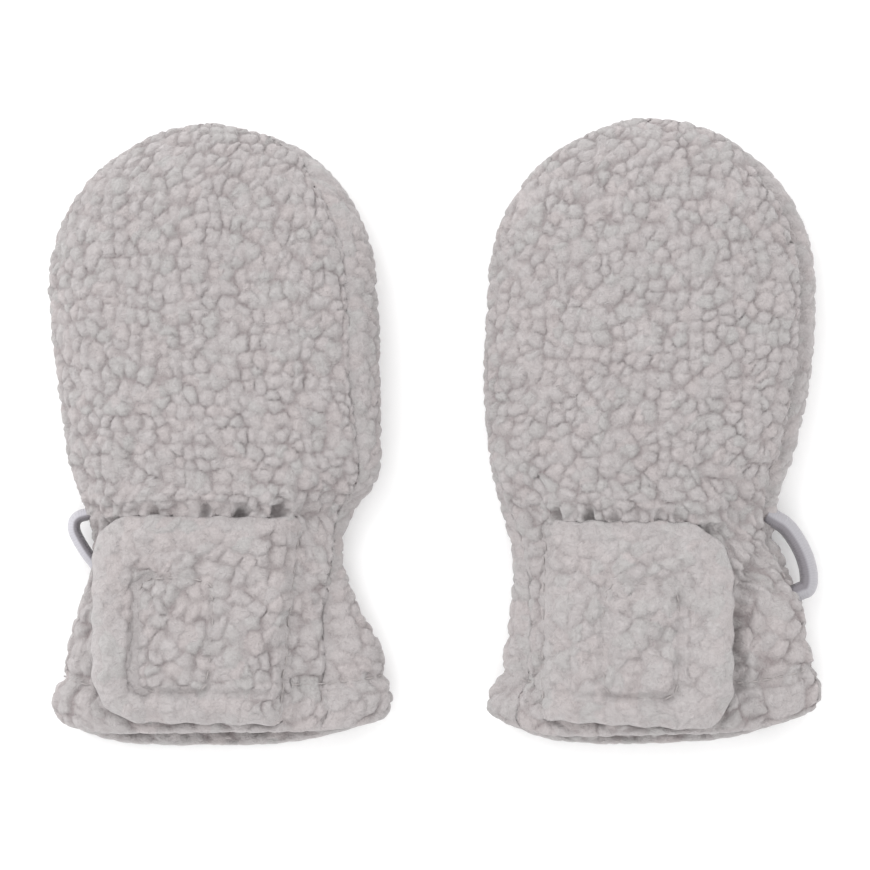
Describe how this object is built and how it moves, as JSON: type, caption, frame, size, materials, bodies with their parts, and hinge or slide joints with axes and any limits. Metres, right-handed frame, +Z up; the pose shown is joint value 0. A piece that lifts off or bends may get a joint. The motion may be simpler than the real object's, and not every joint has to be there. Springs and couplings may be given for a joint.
{
  "type": "pair of baby mittens",
  "caption": "Pair of thumbless baby mittens in pale grey curly fleece, laid flat, with flared cuffs, wrap-around closure flaps and folded ribbon loops.",
  "frame": {"origin": "on the table under the middle of the laid pair's bounding box", "axes": "+X from the left mitten to the right one as seen from above, +Y towards the finger ends, +Z up from the table"},
  "size_m": [0.1852, 0.151, 0.0223],
  "materials": {
    "fleece": "curly pile fleece, matt",
    "tape": "hook and loop tape",
    "ribbon": "woven satin ribbon"
  },
  "bodies": {
    "root": {"left_front": "fleece", "left_back": "fleece", "left_flap": "fleece", "left_loop_patch": "tape", "left_hook_patch": "tape", "left_ribbon": "ribbon", "right_front": "fleece", "right_back": "fleece", "right_flap": "fleece", "right_loop_patch": "tape", "right_hook_patch": "tape", "right_ribbon": "ribbon"}
  },
  "joints": []
}
